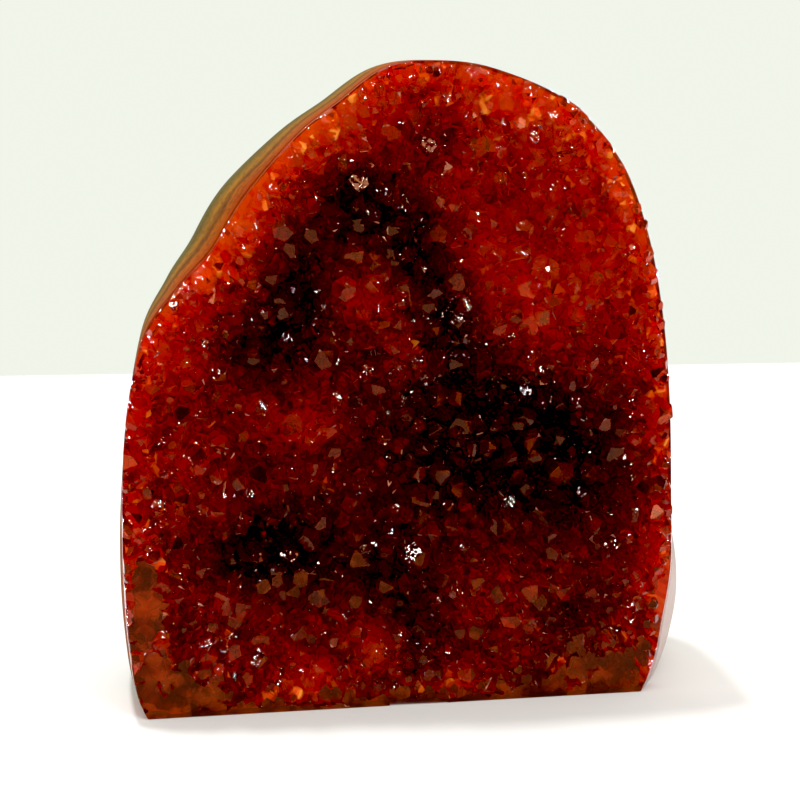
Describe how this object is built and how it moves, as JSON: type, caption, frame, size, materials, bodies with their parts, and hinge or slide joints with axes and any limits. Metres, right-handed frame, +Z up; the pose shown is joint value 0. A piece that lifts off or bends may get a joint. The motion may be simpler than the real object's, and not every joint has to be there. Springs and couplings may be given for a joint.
{
  "type": "citrine geode",
  "caption": "Citrine geode with a cut base: a polished chalcedony wall behind a shallow hollow lined with amber-red quartz points.",
  "frame": {"origin": "under the middle of the stone's box, in the plane of the sawn foot that it stands on", "axes": "+Z is up, +X is to the right seen from the front, and the crystal face looks towards -Y, leaning back by 5 degrees"},
  "size_m": [0.1242, 0.0648, 0.1327],
  "materials": {
    "chalcedony": "polished translucent stone at the front and sides, banded orange, brown and grey-green, with a rough brown rind at the back",
    "citrine": "clear quartz with a deep orange-red body colour and bright growth faces"
  },
  "bodies": {
    "root": {"chalcedony_wall": "chalcedony", "crystal_crust": "citrine"}
  },
  "joints": []
}
